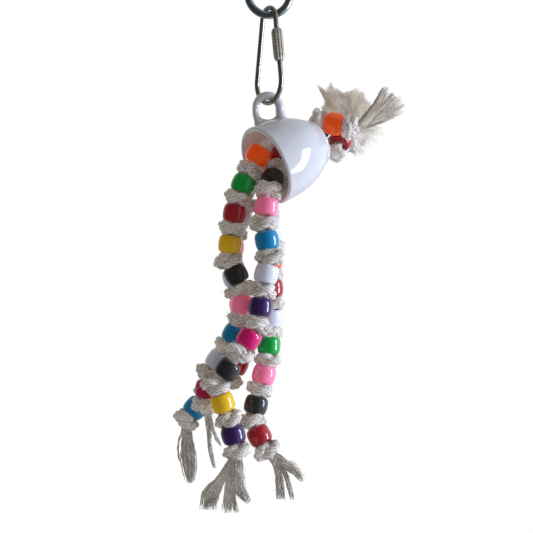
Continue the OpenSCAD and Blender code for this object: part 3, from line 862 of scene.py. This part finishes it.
def thread(start, stop):
    """The line of one length of thread on the right leg."""
    a, b = on_leg(start), on_leg(stop)
    d = unit(b - a)
    m = turn_to(d)
    long = np.linalg.norm(b - a)
    q = np.linspace(0, 1, int(long / PITCH * THREAD_POINTS))
    return a + np.outer(q * long, d) + THREAD_R * circled(q * long / PITCH * FULL_TURN, m[:, 0], m[:, 1])


def add_link():
    link = Build()
    link.tube(arr([link_point(x, z) for x, z in link_outline()]), LINK_WIRE, LINK_SIDES)
    for start, stop in THREADS:
        link.tube(thread(start, stop), THREAD_WIRE, THREAD_SIDES)
    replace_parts(link.make("screw_link_wire", NICKEL, "link"), "link_body")


add_link()

# sleeve: radius, bore, grooves, and rows of distance along it, chamfer and share of groove
SLEEVE_R, SLEEVE_BORE, SLEEVE_SIDES = 2.15, 1.07, 120
GROOVES, GROOVE_DEEP, GROOVE_WIDE = 10, 0.36, 0.17
SLEEVE_START, SLEEVE_END = 0.5, SLEEVE_LONG + 0.6
SLEEVE_ROWS = ((SLEEVE_START, 0.62, 0.2), (0.62, 0.42, 0.5), (1.1, 0.2, 0.8), (2.0, 0.02, 1), (3.0, 0, 1),
               (SLEEVE_LONG - 2.6, 0, 1), (SLEEVE_LONG - 1.2, 0.04, 1), (SLEEVE_LONG - 0.3, 0.22, 0.8),
               (SLEEVE_LONG + 0.4, 0.55, 0.5), (SLEEVE_END, 0.8, 0.2))


def add_sleeve():
    start = on_leg(SLEEVE_FROM)
    axis = unit(on_leg(1) - on_leg(0))
    side = turn_to(axis)
    angle = around(SLEEVE_SIDES)
    out = circled(angle, side[:, 0], side[:, 1])
    groove = GROOVE_DEEP * np.exp(-(((angle * GROOVES / FULL_TURN) % 1 - 0.5) / GROOVE_WIDE) ** 2)
    rows = [start + axis * z + (SLEEVE_R - chamfer - groove * deep)[:, None] * out
            for z, chamfer, deep in SLEEVE_ROWS]
    rows += [start + axis * z + SLEEVE_BORE * out for z in (SLEEVE_END, SLEEVE_START)]
    faces = quads(len(rows), len(angle), True)
    sleeve = piece("ridged_sleeve", np.vstack(rows), faces, SLEEVE, "sleeve", smooth=False)
    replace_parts(sleeve, "link_sleeve")


add_sleeve()

# stage, in metres: a pale floor well below the toy
FLOOR_R, FLOOR_Z, FLOOR_SIDES = 0.36, -0.3, 96


def add_floor():
    material, nt, b = new_material("pale_floor")
    clouds = node(nt, "ShaderNodeTexNoise", {"Scale": 6, "Detail": 2}).outputs["Fac"]
    pale = ramp(nt, clouds, [(0.3, (0.86, 0.86, 0.86)), (0.7, (0.9, 0.9, 0.9))])
    nt.links.new(pale, b.inputs["Base Color"])
    b.inputs["Roughness"].default_value = 0.8
    bpy.ops.mesh.primitive_circle_add(vertices=FLOOR_SIDES, radius=FLOOR_R, fill_type="NGON",
                                      location=(0, 0, FLOOR_Z))
    floor = bpy.context.object
    floor.name = "floor"
    floor.data.materials.append(material)
    floor.visible_glossy = False


add_floor()

# lights, in metres and watts
PANE_WATTS, TOP_WATTS = 4.0, 0.3
DAYLIGHT, WARM_WHITE = (0.67, 0.78, 1.0), (1.0, 0.98, 0.96)


def area(name, location, target, size, power, color, size_y=None):
    data = bpy.data.lights.new(name, "AREA")
    data.energy = power
    data.color = color
    data.size = size
    if size_y:
        data.shape = "RECTANGLE"
        data.size_y = size_y
    ob = bpy.data.objects.new(name, data)
    scene.collection.objects.link(ob)
    ob.location = location
    ob.rotation_euler = (Vector(target) - Vector(location)).to_track_quat("-Z", "Y").to_euler()


# a window of two panes to the right, bluish daylight, and a little light from above
for k, z in enumerate((0.08, -0.22)):
    area(f"window_pane_{k}", (0.80, -0.16, z), (0, 0, -0.11), 0.17, PANE_WATTS, DAYLIGHT, 0.26)
area("soft_top", (0.05, -0.1, 0.6), (0, 0, -0.1), 0.5, TOP_WATTS, WARM_WHITE)


def add_world():
    """White to the camera, a room that is brighter behind the toy, and its dimmer mirror image."""
    world = bpy.data.worlds.new("studio")
    scene.world = world
    world.use_nodes = True
    nt = world.node_tree
    nt.nodes.clear()
    direction = nt.nodes.new("ShaderNodeTexCoord").outputs["Generated"]
    axes = node(nt, "ShaderNodeSeparateXYZ", joins={"Vector": direction}).outputs
    # the wall behind is brighter than the room, so loose cotton is lit through
    room = mapped(nt, axes["Y"], 0.28, 0.95)
    # what shiny things mirror: a lighter wall behind and a lighter side to the right
    wall = mapped(nt, axes["Y"], 0.06, 0.7)
    side = mapped(nt, axes["X"], 0.0, 0.6, 0.4, 0.75, interpolation_type="SMOOTHSTEP")
    mirrored = math_node(nt, "ADD", wall, side)
    seen = node(nt, "ShaderNodeBackground", {"Color": (1, 1, 1, 1), "Strength": 1.0})
    lit = node(nt, "ShaderNodeBackground", {"Color": (*WARM_WHITE, 1)}, {"Strength": room})
    shiny = node(nt, "ShaderNodeBackground", {"Color": (0.95, 0.97, 1, 1)}, {"Strength": mirrored})
    rays = nt.nodes.new("ShaderNodeLightPath").outputs
    joins = {"Fac": rays["Is Glossy Ray"], 1: lit.outputs[0], 2: shiny.outputs[0]}
    surroundings = node(nt, "ShaderNodeMixShader", joins=joins)
    joins = {"Fac": rays["Is Camera Ray"], 1: surroundings.outputs[0], 2: seen.outputs[0]}
    whole = node(nt, "ShaderNodeMixShader", joins=joins)
    node(nt, "ShaderNodeOutputWorld", joins={"Surface": whole.outputs[0]})


add_world()
